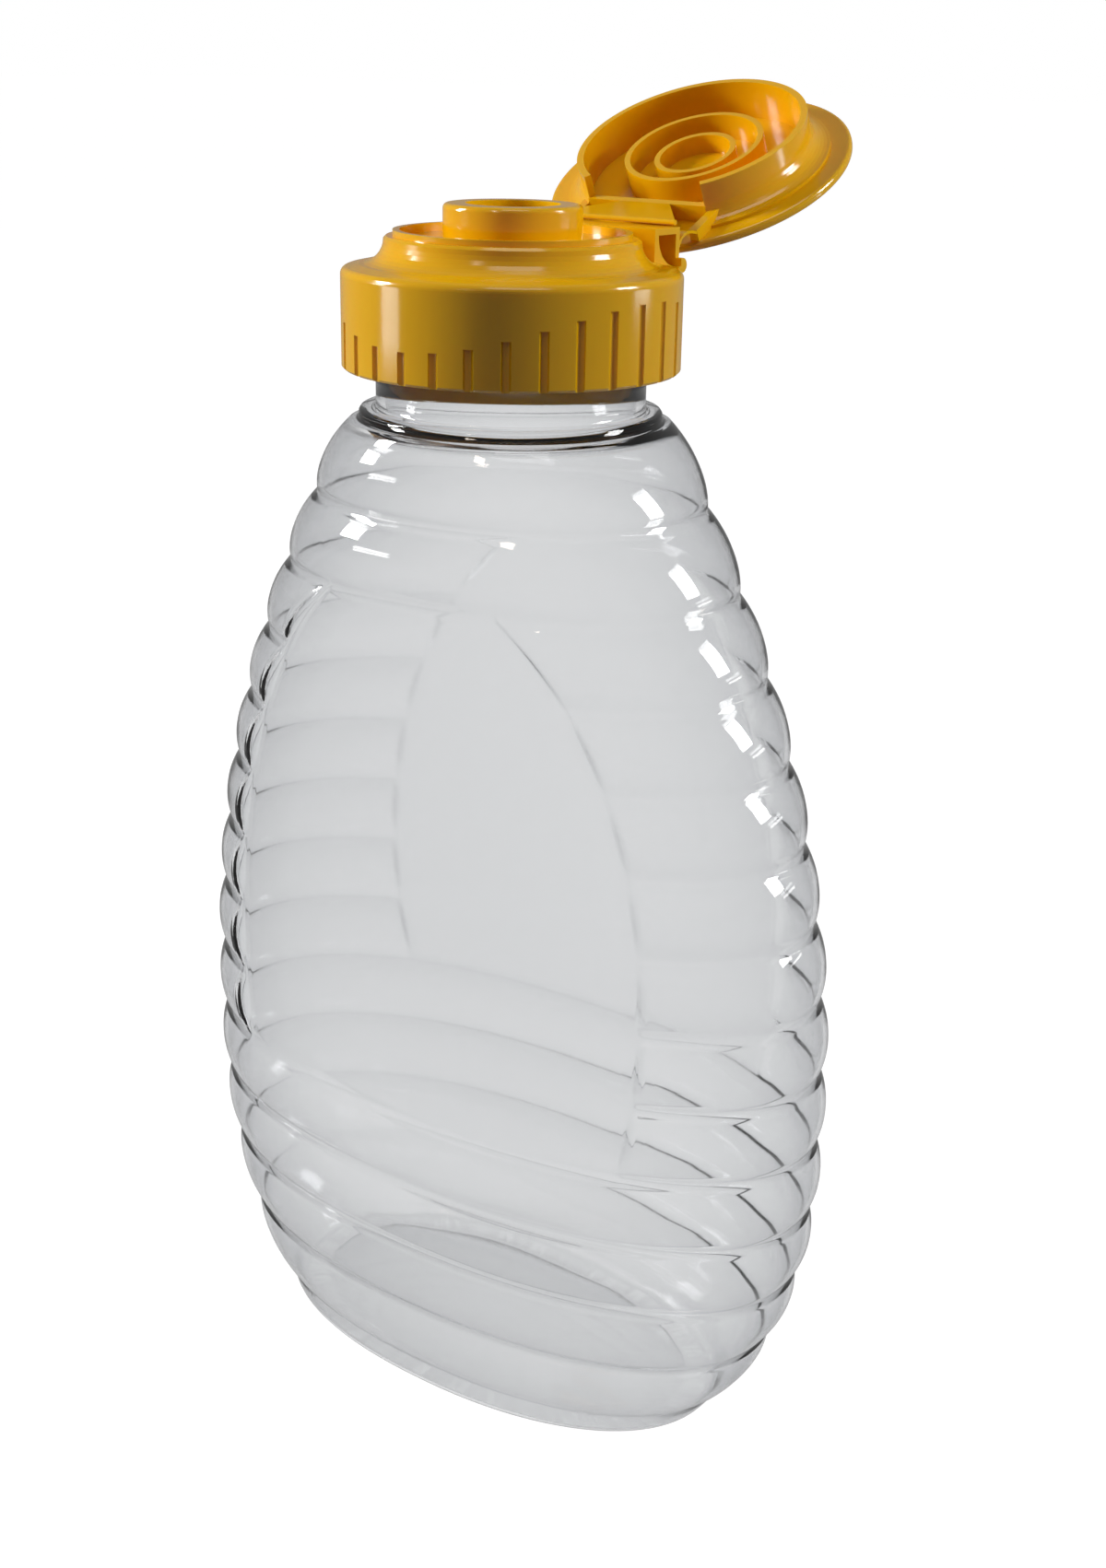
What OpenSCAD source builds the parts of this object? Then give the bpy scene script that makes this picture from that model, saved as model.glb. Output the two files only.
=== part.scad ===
// Ribbed honey bottle with a flip-top closure.
// A clear blown bottle shaped like a skep, oval in plan, with an arched smooth panel on its front and back,
// and a moulded screw closure whose lid stands open on a film hinge with two spring straps.
// The origin is the centre of the foot. The front is towards -Y and the hinge towards +Y.

/* [Body] */
// Width across the belly
body_w = 94.6; // [84:0.2:110]
// Depth through the belly, front to back
body_d = 45.6; // [42:0.2:60]
// Width of the foot at the table
foot_w = 69; // [56:0.5:78]
// Depth of the foot at the table
foot_d = 38.4; // [32:0.2:41]
// Height of the widest place
belly_h = 46; // [36:0.5:60]
// Height of the heel, from the table to the lowest groove
heel_h = 3.4; // [2.8:0.1:5]
// Radius of the rounded heel
heel_r = 1.8; // [1:0.1:2.4]
// Width of the ledge round the neck's bead
ledge_w = 1.7; // [1.2:0.1:3]
// Wall of the blown body
wall = 0.55; // [0.45:0.05:0.9]
// Width of the ring that the bottle stands on
foot_ring_w = 3; // [2:0.2:5]
// Rise of the hollow in the base
punt_h = 4; // [2:0.2:6]

/* [Ribs] */
// Number of ribs from the heel to the neck
rib_count = 13; // [10:1:15]
// Height of one rib
rib_pitch = 9.6; // [8:0.1:11]
// Depth of the grooves between ribs
rib_depth = 1.1; // [0.6:0.1:1.4]
// Ribs below the panel that run all round
ribs_below_panel = 4; // [2:1:5]
// Ribs above the panel that run all round
ribs_above_panel = 2; // [1:1:3]

/* [Panel] */
// Width of the panel at its widest
panel_w = 66; // [50:1:70]
// Height of the widest place of the panel
panel_mid_h = 60; // [52:1:66]
// Height that the arch would rise above the panel's flat top if it were not cut there
arch_over = 4; // [2:0.5:10]
// Width of the step at the panel's edge
panel_edge_w = 1.2; // [0.8:0.1:2]

/* [Neck] */
// Bore of the neck
bore_d = 30; // [28:0.1:31]
// Diameter of the plain neck below the closure
neck_d = 32.7; // [32.2:0.1:34]
// Diameter of the finish at the root of its thread
finish_d = 35.1; // [34.6:0.1:36]
// Depth of the thread that stands out from the finish
thread_depth = 1.15; // [0.8:0.05:1.3]
// Diameter of the bead at the foot of the neck
bead_d = 36.8; // [36.2:0.1:38]
// Height of the bead
bead_h = 1.4; // [1:0.1:2]
// Height of the plain neck between the bead and the finish
plain_neck_h = 4.4; // [3:0.1:7]
// Height of the finish, up to the rim
finish_h = 10.4; // [9:0.1:12]

/* [Closure base] */
// Clearance between the thread's crest and the inside of the skirt
skirt_gap = 0.4; // [0.2:0.05:0.6]
// Wall of the skirt
skirt_wall = 1.3; // [1.1:0.1:1.8]
// Outside height of the skirt
skirt_h = 11.8; // [11:0.1:14]
// Inside depth of the closure, from its open edge to its top plate
inside_h = 10.9; // [9.5:0.1:11]
// Radius at the skirt's shoulder edge
skirt_edge_r = 0.9; // [0.4:0.1:1]
// Outer diameter of the collar that the lid rests on
collar_d = 30.6; // [29:0.1:31.6]
// Height of the collar above the skirt's shoulder
collar_h = 3.5; // [3:0.1:5]
// Outer diameter of the ring that the lid's wall goes round
ring_d = 28.4; // [27:0.1:28.4]
// Height of that ring above the collar
ring_h = 0.7; // [0.4:0.1:1]
// Thickness of the ring
ring_t = 0.8; // [0.6:0.1:1.2]
// Depth of the deck below the collar's top
deck_drop = 0.3; // [0:0.05:0.6]
// Clearance between the bore and the seal lip that goes down into it
plug_seal_gap = 0.25; // [0.15:0.05:0.5]
// Length of that lip below the top plate
plug_seal_h = 3; // [2.4:0.1:4]
// Wall of that lip
plug_seal_t = 0.8; // [0.6:0.1:1.1]

/* [Flutes] */
// Number of flutes round the skirt
flute_count = 30; // [20:2:36]
// Radius of the tool that cuts a flute
flute_r = 0.6; // [0.4:0.05:0.9]
// Depth of a flute
flute_depth = 0.42; // [0.2:0.02:0.5]
// Height of the flutes at the front and the back
flute_h_front = 3.8; // [3:0.1:6]
// Height of the flutes at the two sides
flute_h_side = 9.3; // [7:0.1:10]

/* [Spout] */
// Outer diameter of the spout
spout_d = 16.6; // [15:0.1:17.2]
// Height of the spout above the collar's top
spout_h = 3.8; // [3:0.1:4]
// Diameter of the pouring hole
orifice_d = 11.3; // [10:0.1:11.6]
// Wall of the spout
spout_t = 1; // [0.8:0.1:1.3]
// Thickness of the lip at the spout's top, which narrows to the pouring hole
lip_t = 1; // [0.8:0.1:1.4]

/* [Lid] */
// Angle that the lid stands open from closed
lid_open = 153.8; // [100:0.1:160]
// Diameter of the lid's flange
flange_d = 40.4; // [39:0.1:40.8]
// Thickness of the lid's flange and top
flange_t = 1.25; // [1:0.05:1.6]
// Height inside the lid, from the collar to its top plate
lid_h = 5.3; // [5:0.1:6]
// Clearance between the closed lid and the closure base
lid_gap = 0.2; // [0.1:0.05:0.4]
// Wall of the lid
lid_wall = 0.9; // [0.8:0.05:1.2]
// Diameter of the step at the foot of the waist
waist_step_d = 35; // [34:0.2:36.4]
// Drop of the sealing ring below the lid's top plate
seal_ring_h = 3.4; // [2.6:0.1:3.6]
// Wall of the sealing ring and of the plug
seal_ring_t = 0.75; // [0.6:0.05:1]
// Drop of the plug below the lid's top plate
plug_h = 2.5; // [2:0.1:3]
// Half angle of the notch that the hinge sits in
notch_angle = 35.5; // [33:0.5:40]

/* [Hinge] */
// Width of the hinge block on the closure base
block_w = 21; // [18:0.2:22]
// Depth of the hinge block, front to back
block_d = 5.4; // [5:0.1:6]
// Height of the hinge block's top above the collar
block_rise = 0.7; // [0.5:0.05:0.9]
// Wall of the hinge block round its pockets
block_wall = 0.8; // [0.7:0.05:1]
// Depth of the pockets in the ends of the hinge block
pocket_depth = 5.5; // [3:0.1:7]
// Height of the film hinge above the block
axis_rise = 0.45; // [0.4:0.05:0.7]
// Width of the hinge web where it meets the lid
web_w = 7.5; // [5:0.1:10]
// Thickness of the hinge web
web_t = 0.7; // [0.6:0.05:0.9]
// Thickness of the bending film and of the spring straps
film_t = 0.35; // [0.3:0.05:0.45]
// Width of a spring strap and of the lid's arm that it ends on
spring_w = 1.2; // [1:0.1:1.6]
// Drop of a spring strap's root below the block's top
spring_drop = 2.5; // [2:0.1:3]
// How far a spring strap arches out
spring_bow = 0.8; // [0.4:0.1:1.2]
// Height of the low wall across the lid's notch
notch_wall_h = 2.2; // [1.6:0.1:2.8]
// Height of the lid's two arms
arm_h = 1.5; // [1:0.1:1.8]
// Distance from the end of an arm to the hinge line
arm_short = 2.9; // [2.5:0.1:4]

/* [Seal ring] */
// Thickness of the seal ring
seal_t = 0.9; // [0.6:0.1:1.4]
// Clearance round the seal ring
seal_gap = 0.15; // [0.1:0.05:0.4]

/* [Hidden] */
$fn = 96;
eps = 0.01;
cut = 1;

// Plan of the body: a rounded oval whose squareness is the exponent
plan_power = 2.2;
// Exponents of the side outlines above and below the belly
shoulder_power = 2.1;
haunch_power = 2.85;
end_power = 3;
// Exponent of a rib's round: higher is flatter, with a sharper groove
rib_power = 2.2;
// Small rounds and lands of the closure
collar_edge = 0.3;
base_land = 0.3;
spout_round = 0.6;
flange_edge_r = 0.5;
lid_step_h = 0.4;
block_foot_r = 0.9;
deck_t = 1.2;
// Gap between the hinge bead and the block, and inset of the springs from the block's ends
film_gap = 0.12;
spring_inset = 0.1;
// Sampling of the blown shell, from each end of the oval to the panel's edge, and across half the panel
side_steps = 7;
panel_steps = 5;
rib_rows = 4;

body_h = heel_h + rib_count * rib_pitch;
bead_r = bead_d / 2;
shoulder_r = bead_r + ledge_w;
panel_low = heel_h + ribs_below_panel * rib_pitch;
panel_top = body_h - ribs_above_panel * rib_pitch;

finish_bottom = body_h + bead_h + plain_neck_h;
rim_z = finish_bottom + finish_h;

plate_z = rim_z + seal_t;
skirt_z = plate_z - inside_h;
shoulder_z = skirt_z + skirt_h;
collar_z = shoulder_z + collar_h;
deck_z = collar_z - deck_drop;
skirt_inner_r = finish_d / 2 + thread_depth + skirt_gap;
skirt_r = skirt_inner_r + skirt_wall;
collar_r = collar_d / 2;
ring_r = ring_d / 2;
bore_r = bore_d / 2;
plug_seal_r = bore_r - plug_seal_gap;
spout_r = spout_d / 2;
orifice_r = orifice_d / 2;
spout_z = collar_z + spout_h;

block_z = collar_z + block_rise;
block_y = skirt_r - 0.5;
axis_y = block_y + film_t / 2;
axis_z = block_z + axis_rise;

lid_rim_z = collar_z + lid_gap;
lid_top_z = collar_z + lid_h;
lid_inner_r = ring_r + lid_gap;
lid_outer_r = lid_inner_r + lid_wall;
flange_r = flange_d / 2;
seal_ring_r = spout_r + lid_gap + seal_ring_t;
plug_r = orifice_r - lid_gap;
lip_y = lid_inner_r * cos(notch_angle) + lid_wall;
lip_z = lid_top_z - notch_wall_h;
arm_x = block_w / 2 - spring_w - spring_inset;
arm_w = spring_w;
arm_y = axis_y - arm_short;
arm_z = lid_top_z - arm_h;

// Side outline: half width and half depth of the body at a height, on the crests of the ribs
function above(z) = (z - belly_h) / (body_h - belly_h);
function below(z) = (belly_h - z) / belly_h;
function half_width(z) = z > belly_h
    ? body_w / 2 - (body_w / 2 - shoulder_r) * pow(above(z), shoulder_power)
    : body_w / 2 - (body_w - foot_w) / 2 * pow(below(z), haunch_power);
function half_depth(z) = z > belly_h
    ? body_d / 2 - (body_d / 2 - shoulder_r) * pow(above(z), end_power)
    : body_d / 2 - (body_d - foot_d) / 2 * pow(below(z), end_power);

// Half width of the arched panel at a height, held at its end values above and below it
function arch(z) = panel_w / 2 * sqrt(1 - pow((z - panel_mid_h) / (panel_top + arch_over - panel_mid_h), 2));
function panel_half(z) = arch(min(max(z, panel_low), panel_top))
    * (z < panel_low ? half_width(z) / half_width(panel_low) : 1);

// Depth of the surface below the rib crests at a share of one rib's height
function rib_drop(share) = rib_depth * pow(abs(2 * share - 1), rib_power);
function rib_share(z) = (z - heel_h) / rib_pitch - floor((z - heel_h) / rib_pitch + eps);

// Angle on the oval, in its own parameter, at which it is a given distance from its middle plane
function oval_angle(z, x) = acos(pow(min(x / half_width(z), 1), plan_power / 2));
function oval_point(z, angle, inset) = [
    (half_width(z) - inset) * sign(cos(angle)) * pow(abs(cos(angle)), 2 / plan_power),
    (half_depth(z) - inset) * sign(sin(angle)) * pow(abs(sin(angle)), 2 / plan_power),
    z];

// One quarter of a ring, from the side (0) to the front or back (1), as [angle, share of the panel's drop]
function quarter(z) = let (outer = oval_angle(z, panel_half(z) + panel_edge_w), inner = oval_angle(z, panel_half(z)))
    concat(
        [for (i = [0:side_steps - 1]) [outer * i / (side_steps - 1), 0]],
        [for (i = [0:panel_steps - 1]) [inner + (90 - inner) * i / panel_steps, 1]]);
function full_turn(z) = let (q = quarter(z), n = len(q))
    concat(
        [for (i = [0:n - 1]) q[i]],
        [[90, 1]],
        [for (i = [n - 1:-1:1]) [180 - q[i][0], q[i][1]]],
        [for (i = [0:n - 1]) [180 + q[i][0], q[i][1]]],
        [[270, 1]],
        [for (i = [n - 1:-1:1]) [360 - q[i][0], q[i][1]]]);
ring_points = 4 * (side_steps + panel_steps);

// A ring of the blown body at a height. Inside the panel the surface lies at groove depth.
function body_ring(z, extra) = let (ribbed = rib_drop(rib_share(z)), smooth = z > panel_low - eps && z < panel_top + eps)
    [for (p = full_turn(z)) oval_point(z, p[0], extra + (smooth && p[1] == 1 ? rib_depth : ribbed))];
// A ring near the foot or the ledge, drawn in by a plain inset and set at its own height
function plain_ring(z, inset, at) = [for (p = full_turn(z)) let (q = oval_point(z, p[0], inset)) [q[0], q[1], at]];
function round_ring(r, at) = [for (p = full_turn(body_h)) [r * cos(p[0]), r * sin(p[0]), at]];
function scaled_ring(share, at) = [for (q = plain_ring(0, heel_r + foot_ring_w, at)) [q[0] * share, q[1] * share, at]];

// Outside of the blown body, from the middle of the punt, over the foot and up to the bead
outside = concat(
    [for (share = [0.05, 0.4, 0.7, 0.88]) scaled_ring(share, punt_h * (1 - share * share))],
    [scaled_ring(1, 0)],
    [plain_ring(0, heel_r, 0)],
    [for (a = [30, 60]) plain_ring(0, heel_r * (1 - sin(a)), heel_r * (1 - cos(a)))],
    [plain_ring(heel_r, 0, heel_r)],
    [for (i = [0:rib_count * rib_rows]) body_ring(heel_h + i * rib_pitch / rib_rows, 0)],
    [round_ring(bead_r - eps, body_h + wall)]);
// Inside of the blown body, the same way, one wall further in and with fewer rows
inside = concat(
    [for (share = [0.05, 0.4, 0.7, 0.88]) scaled_ring(share, punt_h * (1 - share * share) + wall)],
    [plain_ring(0, heel_r + foot_ring_w - wall, wall)],
    [plain_ring(0, heel_r + wall, wall)],
    [plain_ring(heel_r, wall, heel_r + wall)],
    [for (i = [0:rib_count * 2 - 1]) body_ring(heel_h + i * rib_pitch / 2, wall)],
    [body_ring(body_h - wall, wall)],
    [round_ring(bore_r + (bead_r - bore_r) / 2, body_h + eps)],
    [round_ring(bore_r + (bead_r - bore_r) / 2, body_h + wall)]);

// Joins rings into a closed skin: the outside goes up, the inside comes down again, and both ends are capped
function skin_points(rings) = [for (ring = rings) each ring];
function band(from, to, n) = [for (i = [0:n - 1]) let (j = (i + 1) % n)
    each [[from + i, from + j, to + j], [from + i, to + j, to + i]]];
module blown_shell() {
    rings = concat(outside, [for (i = [len(inside) - 1:-1:0]) inside[i]]);
    n = ring_points;
    last = (len(rings) - 1) * n;
    faces = concat(
        [[for (i = [n - 1:-1:0]) i]],
        [for (k = [0:len(rings) - 2]) each band(k * n, (k + 1) * n, n)],
        [[for (i = [0:n - 1]) last + i]]);
    polyhedron(skin_points(rings), [for (f = faces) [for (i = [len(f) - 1:-1:0]) f[i]]], convexity = 6);
}

// Neck: bead, plain neck and finish, turned about the bottle's axis
module neck() {
    neck_r = neck_d / 2;
    finish_r = finish_d / 2;
    foot_z = body_h + wall;
    bead_round = 0.5;
    rim_round = 0.4;
    rotate_extrude() polygon([
        [bore_r, foot_z],
        [bead_r, foot_z],
        [bead_r, body_h + bead_h - bead_round],
        [bead_r - bead_round, body_h + bead_h],
        [neck_r + bead_round, body_h + bead_h],
        [neck_r, body_h + bead_h + bead_round],
        [neck_r, finish_bottom - (finish_r - neck_r)],
        [finish_r, finish_bottom],
        [finish_r, rim_z - rim_round],
        [finish_r - rim_round, rim_z],
        [bore_r + rim_round, rim_z],
        [bore_r, rim_z - rim_round]]);
}

module bottle() {
    color([0.86, 0.88, 0.89, 0.35]) union() {
        blown_shell();
        neck();
    }
}

// Height of the flutes at an angle from the front: short at front and back, tall at the sides
function flute_h(angle) = (flute_h_front + flute_h_side) / 2 - (flute_h_side - flute_h_front) / 2 * cos(2 * angle);

module flutes() {
    for (i = [0:flute_count - 1]) {
        angle = i * 360 / flute_count;
        rotate([0, 0, angle]) translate([0, -skirt_r - flute_r + flute_depth, skirt_z - cut])
            cylinder(r = flute_r, h = flute_h(angle) + cut, $fn = 24);
    }
}

// Points along an arc about a centre, from one angle to another
function arc(centre, r, from, to, steps) =
    [for (i = [0:steps]) let (t = from + (to - from) * i / steps) [centre[0] + r * cos(t), centre[1] + r * sin(t)]];

// Half section of the closure base: skirt, concave shoulder, collar, ring, deck and spout, hollow inside.
// The lip that hangs inside the skirt seals in the bottle's bore.
module base_profile() {
    cove_r = collar_h - base_land - collar_edge;
    cove_x = collar_r + cove_r;
    way_r = spout_r - spout_t;
    lip_inner_r = plug_seal_r - plug_seal_t;
    polygon(concat(
        [[skirt_inner_r, skirt_z], [skirt_r - collar_edge, skirt_z], [skirt_r, skirt_z + collar_edge]],
        arc([skirt_r - skirt_edge_r, shoulder_z - skirt_edge_r], skirt_edge_r, 0, 90, 6),
        arc([cove_x, shoulder_z + base_land + cove_r], cove_r, 270, 180, 8),
        [[collar_r, collar_z - collar_edge], [collar_r - collar_edge, collar_z], [ring_r, collar_z],
            [ring_r, collar_z + ring_h], [ring_r - ring_t, collar_z + ring_h], [ring_r - ring_t, deck_z],
            [spout_r, deck_z]],
        arc([spout_r - spout_round, spout_z - spout_round], spout_round, 0, 90, 6),
        [[orifice_r, spout_z], [orifice_r, spout_z - lip_t], [way_r, spout_z - lip_t], [way_r, deck_z - deck_t],
            [lip_inner_r, deck_z - deck_t], [lip_inner_r, plate_z - plug_seal_h],
            [plug_seal_r, plate_z - plug_seal_h], [plug_seal_r, plate_z], [skirt_inner_r, plate_z]]));
}

// Hinge block: a shallow box across the back, with a D-shaped pocket in each end and a rounded foot
module hinge_block() {
    block_x = block_w / 2;
    difference() {
        union() {
            translate([-block_x, block_y - block_d, plate_z]) cube([block_w, block_d, block_z - plate_z]);
            translate([-block_x - block_foot_r, block_y - block_foot_r / 2, shoulder_z - block_foot_r / 3])
                rotate([0, 90, 0]) cylinder(r = block_foot_r, h = block_w + 2 * block_foot_r, $fn = 32);
        }
        for (side = [0, 1]) mirror([side, 0, 0]) translate([block_x - pocket_depth, 0, 0]) pocket();
    }
}

// D-shaped hollow: straight at the back and the top, round at the front and below
module pocket() {
    top_z = block_z - block_wall;
    back_y = block_y - block_wall;
    r = block_d - 2 * block_wall;
    intersection() {
        translate([0, back_y - r, top_z - r]) cube([pocket_depth + cut, r, r]);
        translate([0, back_y, top_z]) rotate([0, 90, 0]) cylinder(r = r, h = pocket_depth + cut, $fn = 64);
    }
}

module closure_base() {
    color([0.9, 0.7, 0.1]) union() {
        difference() {
            rotate_extrude() base_profile();
            flutes();
        }
        hinge_block();
    }
}

// Places what is drawn closed where the open lid stands
module opened() {
    translate([0, axis_y, axis_z]) rotate([-lid_open, 0, 0]) translate([0, -axis_y, -axis_z]) children();
}
// The same for one point across the hinge, as [distance to the back, height]
function opened_point(p) = let (y = p[0] - axis_y, z = p[1] - axis_z)
    [axis_y + y * cos(lid_open) + z * sin(lid_open), axis_z - y * sin(lid_open) + z * cos(lid_open)];

// Half section of the lid, drawn closed: flange and top, waisted wall, sealing ring and plug
module lid_profile() {
    cove_r = waist_step_d / 2 - lid_outer_r;
    step_z = lid_top_z - lid_step_h;
    ring_inner_r = seal_ring_r - seal_ring_t;
    plug_inner_r = plug_r - seal_ring_t;
    polygon(concat(
        [[0, lid_top_z + flange_t]],
        arc([flange_r - flange_edge_r, lid_top_z + flange_t - flange_edge_r], flange_edge_r, 90, 0, 5),
        arc([flange_r - flange_edge_r, lid_top_z + flange_edge_r], flange_edge_r, 0, -90, 5),
        [[waist_step_d / 2, lid_top_z], [waist_step_d / 2, step_z]],
        arc([lid_outer_r + cove_r, step_z - cove_r], cove_r, 90, 180, 8),
        [[lid_outer_r, lid_rim_z], [lid_inner_r, lid_rim_z], [lid_inner_r, lid_top_z],
            [seal_ring_r, lid_top_z], [seal_ring_r, lid_top_z - seal_ring_h],
            [ring_inner_r, lid_top_z - seal_ring_h], [ring_inner_r, lid_top_z],
            [plug_r, lid_top_z], [plug_r, lid_top_z - plug_h],
            [plug_inner_r, lid_top_z - plug_h], [plug_inner_r, lid_top_z], [0, lid_top_z]]));
}

// The sector of the waisted wall that the notch takes out, under the flange and clear of the sealing ring
module notch() {
    far = 2 * flange_r;
    x = far * tan(notch_angle);
    translate([0, 0, lid_rim_z - cut]) linear_extrude(lid_top_z - lid_rim_z + cut) difference() {
        polygon([[0, 0], [x, far], [-x, far]]);
        circle(lid_inner_r - lid_gap);
    }
}

// Low wall across the notch, between the two ends of the waisted wall, and an arm beside each spring
module notch_wall() {
    lip_x = lip_y * tan(notch_angle) - eps;
    translate([-lip_x, lip_y - lid_wall, lip_z]) cube([2 * lip_x, lid_wall, lid_top_z - lip_z + eps]);
    for (side = [0, 1]) mirror([side, 0, 0])
        translate([arm_x, lip_y - lid_wall, arm_z]) cube([arm_w, arm_y - lip_y + lid_wall, lid_top_z - arm_z + eps]);
}

module flip_lid() {
    color([0.93, 0.71, 0.1]) opened() union() {
        difference() {
            rotate_extrude() lid_profile();
            notch();
        }
        notch_wall();
    }
}

// Wide web from the notch wall to the hinge line, where it ends in a bead that bends on the closure base
module hinge_strap() {
    root_x = block_w / 2 - block_wall;
    bead_r = axis_rise - film_gap;
    color([0.95, 0.78, 0.2]) opened() {
        intersection() {
            rotate([90, 0, 90]) translate([0, 0, -root_x]) linear_extrude(2 * root_x)
                polygon([[lip_y, lip_z], [lip_y, lip_z + web_t], [axis_y, axis_z + bead_r / 2], [axis_y, axis_z - bead_r / 2]]);
            linear_extrude(lid_top_z)
                polygon([[-web_w / 2, lip_y], [web_w / 2, lip_y], [root_x, axis_y], [-root_x, axis_y]]);
        }
        translate([-root_x, axis_y, axis_z]) rotate([0, 90, 0]) cylinder(r = bead_r, h = 2 * root_x, $fn = 32);
    }
}

// Spring strap: a thin band that arches from the block's back to the lid's arm, beside the hinge line
spring_root = [block_y, block_z - spring_drop];
spring_tip = opened_point([arm_y, arm_z + film_t]);
spring_crown = [spring_root[0] + spring_bow, spring_tip[1] + spring_bow];
function spring_point(t) = (1 - t) * (1 - t) * spring_root + 2 * t * (1 - t) * spring_crown + t * t * spring_tip;
function spring_side(t) = let (d = (1 - t) * (spring_crown - spring_root) + t * (spring_tip - spring_crown))
    [-d[1], d[0]] / norm(d);
module spring_strap() {
    steps = 12;
    near = film_gap / 10;
    ts = [for (i = [0:steps]) near + (1 - 2 * near) * i / steps];
    edge = concat(
        [for (t = ts) spring_point(t) + spring_side(t) * film_t / 2],
        [for (i = [steps:-1:0]) spring_point(ts[i]) - spring_side(ts[i]) * film_t / 2]);
    translate([arm_x, 0, 0]) rotate([90, 0, 90]) linear_extrude(spring_w) intersection() {
        polygon(edge);
        translate([block_y + film_gap / 5, 0]) square([flange_d, lid_top_z]);
    }
}
module hinge_spring_left() {
    color([0.95, 0.78, 0.2]) mirror([1, 0, 0]) spring_strap();
}
module hinge_spring_right() {
    color([0.95, 0.78, 0.2]) spring_strap();
}

// Soft ring clamped between the bottle's rim and the closure's top plate, outside the seal lip
module seal_ring() {
    color([0.93, 0.92, 0.88]) translate([0, 0, rim_z]) difference() {
        cylinder(r = finish_d / 2, h = seal_t);
        translate([0, 0, -cut]) cylinder(r = plug_seal_r + seal_gap, h = seal_t + 2 * cut);
    }
}

bottle();
closure_base();
flip_lid();
hinge_strap();
hinge_spring_left();
hinge_spring_right();
seal_ring();
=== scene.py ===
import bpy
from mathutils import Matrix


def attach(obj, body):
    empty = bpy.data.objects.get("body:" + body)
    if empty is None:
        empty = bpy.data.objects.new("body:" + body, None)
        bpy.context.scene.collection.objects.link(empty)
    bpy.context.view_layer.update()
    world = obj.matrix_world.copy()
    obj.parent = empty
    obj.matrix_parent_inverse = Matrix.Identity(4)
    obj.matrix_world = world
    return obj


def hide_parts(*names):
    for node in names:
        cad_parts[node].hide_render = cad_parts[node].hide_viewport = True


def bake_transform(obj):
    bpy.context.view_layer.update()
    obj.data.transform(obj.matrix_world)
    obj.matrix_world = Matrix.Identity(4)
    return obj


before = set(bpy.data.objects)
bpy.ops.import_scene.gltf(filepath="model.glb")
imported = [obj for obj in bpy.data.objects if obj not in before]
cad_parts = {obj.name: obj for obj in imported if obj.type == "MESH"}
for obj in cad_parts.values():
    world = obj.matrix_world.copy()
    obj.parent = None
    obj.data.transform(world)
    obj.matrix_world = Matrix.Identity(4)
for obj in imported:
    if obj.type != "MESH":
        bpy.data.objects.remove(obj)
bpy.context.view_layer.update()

# Camera. It stands where the photograph was taken from: 36 degrees to the right of the front, at arm's
# length, looking down on the bottle.
from math import acos, cos, pi, radians, sin
import bpy
from mathutils import Matrix, Vector

camera_place = (0.15286, -0.19783, 0.17079)
heading = radians(36.32)
pitch = radians(19.75)
roll = radians(1.1)
forward = Vector((-sin(heading) * cos(pitch), cos(heading) * cos(pitch), -sin(pitch)))
level_right = Vector((cos(heading), sin(heading), 0))
level_up = level_right.cross(forward)
camera_right = level_right * cos(roll) + level_up * sin(roll)
camera_up = level_up * cos(roll) - level_right * sin(roll)
camera_turn = Matrix((camera_right, camera_up, -forward)).transposed()
camera_data = bpy.data.cameras.new("camera")
camera_data.sensor_fit = "HORIZONTAL"
camera_data.sensor_width = 36
camera_data.lens = 66.77
camera_data.clip_start = 0.01
camera = bpy.data.objects.new("camera", camera_data)
camera.matrix_world = Matrix.Translation(camera_place) @ camera_turn.to_4x4()
bpy.context.collection.objects.link(camera)
bpy.context.scene.camera = camera
bpy.context.scene.view_settings.view_transform = "Standard"


# Floor and light. A pale floor in a white studio. Window-shaped lamps to the left and the right give the
# bottle and the closure their bright reflections, and leave the front of the closure in shade.
def new_material(name):
    material = bpy.data.materials.new(name)
    material.use_nodes = True
    nodes = material.node_tree.nodes
    return material, nodes, material.node_tree.links, nodes["Principled BSDF"]


def mesh_piece(name, points, faces, material, smooth=True):
    mesh = bpy.data.meshes.new(name)
    mesh.from_pydata(points, [], faces)
    mesh.materials.append(material)
    mesh.polygons.foreach_set("use_smooth", [smooth] * len(mesh.polygons))
    piece = bpy.data.objects.new(name, mesh)
    bpy.context.collection.objects.link(piece)
    return piece


# The camera sees full white, also through clear plastic. Reflections see mirrored_white, and what is lit by
# it gets no more than ambient.
def studio_white(nodes, links, ambient):
    mirrored_white = 0.25
    path = nodes.new("ShaderNodeLightPath")
    seen = nodes.new("ShaderNodeMath")
    seen.operation = "MAXIMUM"
    links.new(path.outputs["Is Camera Ray"], seen.inputs[0])
    links.new(path.outputs["Is Transmission Ray"], seen.inputs[1])
    mirrored = nodes.new("ShaderNodeMath")
    mirrored.operation = "MULTIPLY"
    mirrored.inputs[1].default_value = mirrored_white
    links.new(path.outputs["Is Glossy Ray"], mirrored.inputs[0])
    either = nodes.new("ShaderNodeMath")
    either.operation = "MAXIMUM"
    links.new(seen.outputs[0], either.inputs[0])
    links.new(mirrored.outputs[0], either.inputs[1])
    strength = nodes.new("ShaderNodeMath")
    strength.operation = "MAXIMUM"
    strength.inputs[1].default_value = ambient
    links.new(either.outputs[0], strength.inputs[0])
    return strength.outputs[0]


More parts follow.
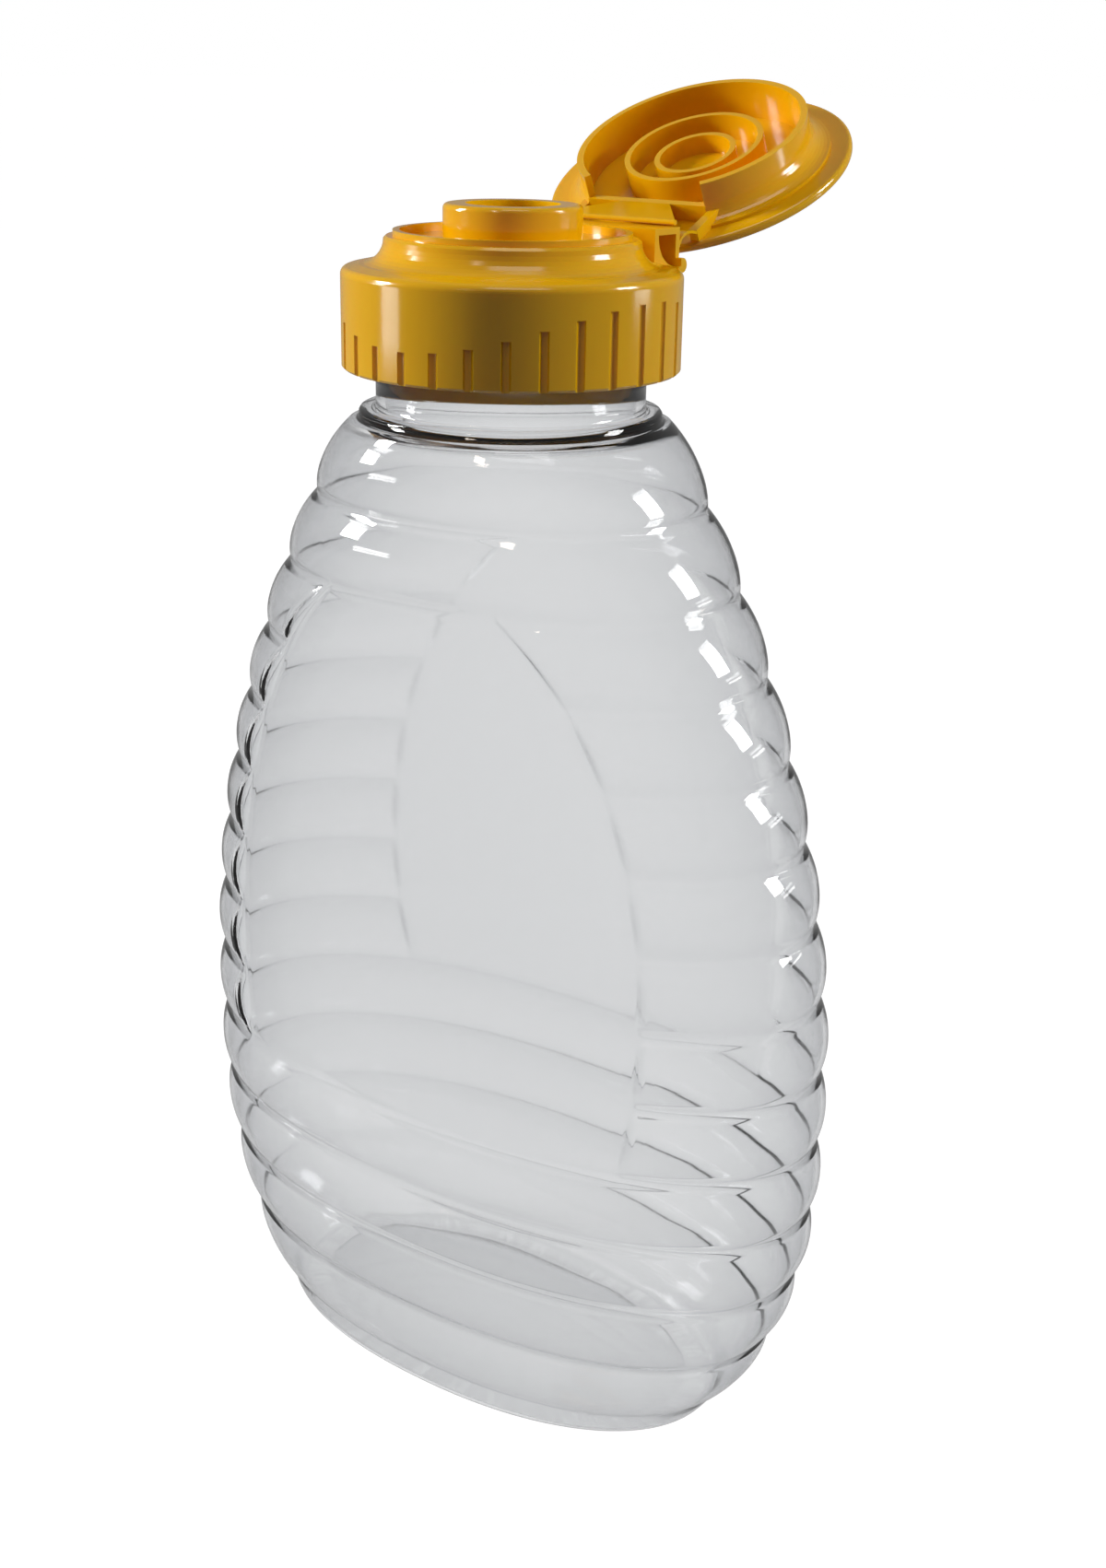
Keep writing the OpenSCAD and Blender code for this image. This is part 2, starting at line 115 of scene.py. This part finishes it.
floor_half = 8
floor_material, nodes, links, shader = new_material("pale_floor")
shader.inputs["Base Color"].default_value = (0.1, 0.1, 0.1, 1)
shader.inputs["Roughness"].default_value = 1
shader.inputs["Specular IOR Level"].default_value = 0
shader.inputs["Emission Color"].default_value = (1, 1, 1, 1)
links.new(studio_white(nodes, links, 0), shader.inputs["Emission Strength"])
floor_corners = [(floor_half * x, floor_half * y, 0) for x, y in ((-1, -1), (1, -1), (1, 1), (-1, 1))]
floor = mesh_piece("floor", floor_corners, [(0, 1, 2, 3)], floor_material, False)

world = bpy.data.worlds.new("studio")
world.use_nodes = True
bpy.context.scene.world = world
nodes = world.node_tree.nodes
links = world.node_tree.links
background = nodes["Background"]
background.inputs["Color"].default_value = (1, 1, 1, 1)
links.new(studio_white(nodes, links, 0.03), background.inputs["Strength"])


def lamp(name, place, target, width, height, watts, colour=(1, 1, 1)):
    data = bpy.data.lights.new(name, "AREA")
    data.shape = "RECTANGLE"
    data.size = width
    data.size_y = height
    data.energy = watts
    data.color = colour
    light = bpy.data.objects.new(name, data)
    light.location = place
    light.rotation_euler = (Vector(target) - Vector(place)).to_track_quat("-Z", "Y").to_euler()
    bpy.context.collection.objects.link(light)


at_body = (0, 0, 0.1)
at_closure = (0, 0, 0.14)
peach = (1, 0.86, 0.74)
lamp("window_left_upper", (-0.68, -0.38, 0.5), at_body, 0.16, 0.16, 3.6)
lamp("window_left_lower", (-0.72, -0.4, 0.28), at_body, 0.16, 0.16, 3.6)
lamp("window_right", (0.62, 0.42, 0.4), at_body, 0.2, 0.3, 4.2)
lamp("softbox_top", (0.1, -0.1, 0.9), at_body, 0.4, 0.4, 1.2)
lamp("softbox_front", (0.02, -0.5, 0.6), at_body, 0.07, 0.1, 0.35, peach)
lamp("pane_left_upper", (-0.232, -0.213, 0.112), at_closure, 0.08, 0.009, 0.02)
lamp("pane_left_lower", (-0.232, -0.213, 0.1), at_closure, 0.08, 0.007, 0.016)
lamp("pane_right", (0.24, 0.203, 0.116), at_closure, 0.08, 0.01, 0.02)


# Bottle. One blown piece of clear PET with ribs all round, a smooth arched panel on its front and back, and
# a hollow base. Its neck, with bead and rim, is moulded before the body is blown.
mm = 0.001
body_half_w = 47.3
body_half_d = 22.8
foot_half_w = 34.5
foot_half_d = 19.2
belly_h = 46
upper_width_power = 2.1
lower_width_power = 2.85
depth_power = 3
plan_power = 2.2
heel_h = 3.4
heel_r = 1.8
heel_turns = (0, 15, 30, 45, 60, 75)
foot_ring_w = 3
punt_h = 4
punt_shares = (0.02, 0.2, 0.4, 0.6, 0.75, 0.88, 0.96, 0.995)
rib_count = 13
rib_pitch = 9.6
rib_depth = 1.1
rib_power = 2.2
body_h = heel_h + rib_count * rib_pitch
shoulder_r = 20.1
panel_half_w = 33
panel_mid_h = 60
panel_arch_h = 53
panel_edge_w = 1.2
panel_low = heel_h + 4 * rib_pitch
panel_top = body_h - 2 * rib_pitch
panel_slack = 0.01
wall = 0.55
side_steps = 24
edge_steps = 4
panel_steps = 18
outer_rows = 14
inner_rows = 7


def half_width(z):
    if z > belly_h:
        above = (z - belly_h) / (body_h - belly_h)
        return body_half_w - (body_half_w - shoulder_r) * above ** upper_width_power
    below = (belly_h - z) / belly_h
    return body_half_w - (body_half_w - foot_half_w) * below ** lower_width_power


def half_depth(z):
    if z > belly_h:
        above = (z - belly_h) / (body_h - belly_h)
        return body_half_d - (body_half_d - shoulder_r) * above ** depth_power
    below = (belly_h - z) / belly_h
    return body_half_d - (body_half_d - foot_half_d) * below ** depth_power


# Half the panel's width: it narrows to the top in an arch, and below its own height it follows the body
def panel_half(z):
    held = min(max(z, panel_low), panel_top)
    arch = panel_half_w * (1 - ((held - panel_mid_h) / panel_arch_h) ** 2) ** 0.5
    return arch * (half_width(z) / half_width(panel_low) if z < panel_low else 1)


def oval_angle(z, x):
    return acos(min(x / half_width(z), 1) ** (plan_power / 2))


def oval_point(z, angle, inset):
    c = cos(angle)
    s = sin(angle)
    x = (half_width(z) - inset) * abs(c) ** (2 / plan_power)
    y = (half_depth(z) - inset) * abs(s) ** (2 / plan_power)
    return (x if c > 0 else -x, y if s > 0 else -y)


# All angles of one ring, each with how far across the panel's edge it lies: 0 outside, 1 on the panel
def full_turn(z):
    inner = oval_angle(z, panel_half(z))
    outer = oval_angle(z, panel_half(z) + panel_edge_w)
    quarter = [(outer * i / side_steps, 0) for i in range(side_steps)]
    quarter += [(outer + (inner - outer) * i / edge_steps, i / edge_steps) for i in range(edge_steps)]
    quarter += [(inner + (pi / 2 - inner) * i / panel_steps, 1) for i in range(panel_steps)]
    turn = quarter + [(pi / 2, 1)] + [(pi - a, s) for a, s in quarter[:0:-1]]
    return turn + [(pi + a, s) for a, s in turn]


def smooth_step(t):
    return t * t * (3 - 2 * t)


# A ring of the ribbed body. share is its place within its rib: 0 and 1 are in the grooves
def body_ring(z, share, extra):
    groove = rib_depth * abs(2 * share - 1) ** rib_power
    on_panel = panel_low - panel_slack < z < panel_top + panel_slack
    ring = []
    for angle, across in full_turn(z):
        drop = groove + (rib_depth - groove) * smooth_step(across) if on_panel else groove
        x, y = oval_point(z, angle, drop + extra)
        ring.append((x, y, z))
    return ring


def plain_ring(z, inset, at, scale=1):
    flat = [oval_point(z, angle, inset) for angle, _ in full_turn(z)]
    return [(x * scale, y * scale, at) for x, y in flat]


def round_ring(r, at):
    return [(r * cos(angle), r * sin(angle), at) for angle, _ in full_turn(body_h)]


# One side of the wall, from the middle of the base to the shoulder, extra mm inside the outer surface
def shell_rings(extra, rows):
    foot_inset = heel_r + foot_ring_w
    rings = [plain_ring(0, foot_inset, punt_h * (1 - share * share) + extra, share) for share in punt_shares]
    rings.append(plain_ring(0, foot_inset - extra, extra))
    for turn in heel_turns:
        inset = heel_r * (1 - sin(radians(turn)))
        rings.append(plain_ring(0, inset + extra, max(heel_r * (1 - cos(radians(turn))), extra)))
    for k in range(rib_count):
        for row in range(rows):
            rings.append(body_ring(heel_h + rib_pitch * (k + row / rows), row / rows, extra))
    rings.append(body_ring(body_h - extra, 0, extra))
    return rings


# Joins rings of as many points each into a closed skin, in metres
def skin(rings):
    count = len(rings[0])
    points = [(x * mm, y * mm, z * mm) for ring in rings for x, y, z in ring]
    faces = [tuple(range(count - 1, -1, -1))]
    for k in range(len(rings) - 1):
        for i in range(count):
            j = (i + 1) % count
            faces.append((k * count + i, k * count + j, (k + 1) * count + j, (k + 1) * count + i))
    faces.append(tuple((len(rings) - 1) * count + i for i in range(count)))
    return points, faces


bead_r = 18.4
bead_low = 128.5
bead_high = 129.3
neck_r = 16.35
neck_low = 130.1
neck_high = 132.8
finish_r = 17.55
finish_low = 134
rim_z = 144.4
rim_edge = 0.4
bore_r = 15
neck_outside = [(bead_r + 0.5, bead_low - 0.15), (bead_r, bead_low), (bead_r, bead_high),
                (bead_r - 0.2, 129.6), (17, 129.6), (16.5, 129.8), (neck_r, neck_low), (neck_r, neck_high),
                (finish_r, finish_low), (finish_r, rim_z - rim_edge), (finish_r - rim_edge, rim_z)]
neck_inside = [(bore_r + rim_edge, rim_z), (bore_r, rim_z - rim_edge), (bore_r, 129.2),
               (bore_r + 0.4, 128.3), (17, 127.9)]
neck_rings = [round_ring(r, z) for r, z in neck_outside + neck_inside]
points, faces = skin(shell_rings(0, outer_rows) + neck_rings + shell_rings(wall, inner_rows)[::-1])

clear_pet, nodes, links, shader = new_material("clear_pet")
shader.inputs["Roughness"].default_value = 0.04
shader.inputs["IOR"].default_value = 1.45
shader.inputs["Transmission Weight"].default_value = 1
# Grey of the clear plastic, darker towards grazing angles. The pale grey that faces the view is the
# plastic's own tint. The darker grey at edges and grooves is painted shade, standing in for the darker
# surroundings that refraction and reflection show there.
facing = nodes.new("ShaderNodeLayerWeight")
facing.inputs["Blend"].default_value = 0.35
tint_and_edge_shade = nodes.new("ShaderNodeMix")
tint_and_edge_shade.data_type = "RGBA"
tint_and_edge_shade.inputs["A"].default_value = (0.82, 0.825, 0.83, 1)
tint_and_edge_shade.inputs["B"].default_value = (0.42, 0.43, 0.45, 1)
links.new(facing.outputs["Facing"], tint_and_edge_shade.inputs["Factor"])
links.new(tint_and_edge_shade.outputs["Result"], shader.inputs["Base Color"])
place = nodes.new("ShaderNodeTexCoord")
ripple = nodes.new("ShaderNodeTexNoise")
ripple.inputs["Scale"].default_value = 70
ripple.inputs["Detail"].default_value = 1
bump = nodes.new("ShaderNodeBump")
bump.inputs["Strength"].default_value = 0.12
bump.inputs["Distance"].default_value = 0.0006
links.new(place.outputs["Object"], ripple.inputs["Vector"])
links.new(ripple.outputs["Fac"], bump.inputs["Height"])
links.new(bump.outputs["Normal"], shader.inputs["Normal"])
bottle = mesh_piece("bottle_shell", points, faces, clear_pet)
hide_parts("bottle")
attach(bottle, "bottle")


# Thread. A raised helix round the bottle's finish, one and a half turns long, that fades out at both ends.
# It is of the same clear plastic as the bottle, and shows once the closure is off.
thread_pitch = 4.233
thread_turns = 1.5
thread_start_z = 136.2
thread_depth = 1.1
thread_foot = 1.2
thread_crest = 0.45
thread_sink = 0.02
turn_steps = 96
fade_steps = 10
stations = int(thread_turns * turn_steps)
root_r = finish_r - thread_sink
rings = []
for i in range(stations + 1):
    angle = 2 * pi * i / turn_steps
    z = thread_start_z + thread_pitch * i / turn_steps
    swell = smooth_step(min(1, (0.5 + i) / fade_steps, (0.5 + stations - i) / fade_steps))
    crest_r = finish_r + thread_depth * swell
    section = ((root_r, -thread_foot), (crest_r, -thread_crest),
               (crest_r, thread_crest), (root_r, thread_foot))
    rings.append([(r * cos(angle), r * sin(angle), z + rise) for r, rise in section])
points, faces = skin(rings)
thread = mesh_piece("neck_thread", points, faces, clear_pet)
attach(thread, "bottle")


# Closure and lid. One glossy yellow polypropylene moulding: a fluted screw base with a spout, and a flip lid
# on a film hinge. The plastic is a little translucent, so thin edges glow and hollows go amber.
def mottle(nodes, links, shader, pattern, output, dark, light):
    place = nodes.new("ShaderNodeTexCoord")
    ramp = nodes.new("ShaderNodeValToRGB")
    ramp.color_ramp.elements[0].color = dark
    ramp.color_ramp.elements[1].color = light
    links.new(place.outputs["Object"], pattern.inputs["Vector"])
    links.new(pattern.outputs[output], ramp.inputs["Fac"])
    links.new(ramp.outputs["Color"], shader.inputs["Base Color"])


yellow_pp, nodes, links, shader = new_material("yellow_pp")
shader.inputs["Roughness"].default_value = 0.13
shader.inputs["Subsurface Weight"].default_value = 0.15
shader.inputs["Subsurface Radius"].default_value = (0.006, 0.0025, 0.0003)
shader.inputs["Subsurface Scale"].default_value = 0.6
cloud = nodes.new("ShaderNodeTexNoise")
cloud.inputs["Scale"].default_value = 60
cloud.inputs["Detail"].default_value = 4
mottle(nodes, links, shader, cloud, "Fac", (0.84, 0.42, 0.001, 1), (0.92, 0.5, 0.002, 1))
for node in ("closure_base", "flip_lid", "hinge_strap", "hinge_spring_left", "hinge_spring_right"):
    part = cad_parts[node]
    part.data.materials.clear()
    part.data.materials.append(yellow_pp)


# Seal ring. A liner of white foam, pressed between the bottle's rim and the closure. Nothing shows of it
# until the closure is off.
seal_foam, nodes, links, shader = new_material("seal_foam")
shader.inputs["Roughness"].default_value = 0.9
cells = nodes.new("ShaderNodeTexVoronoi")
cells.inputs["Scale"].default_value = 900
mottle(nodes, links, shader, cells, "Distance", (0.72, 0.7, 0.65, 1), (0.88, 0.86, 0.81, 1))
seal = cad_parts["seal_ring"]
seal.data.materials.clear()
seal.data.materials.append(seal_foam)


# Spring straps. Two thin bands beside the film hinge, from the back of the hinge block to the lid's arms.
# On the closure they bend as the lid turns. Here each is a copy of its CAD solid, in world space, that takes
# the solid's place.
for node in ("hinge_spring_left", "hinge_spring_right"):
    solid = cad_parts[node]
    mesh = solid.data.copy()
    mesh.transform(solid.matrix_world)
    strap = bpy.data.objects.new(node + "_strap", mesh)
    bpy.context.collection.objects.link(strap)
    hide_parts(node)
    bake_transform(strap)
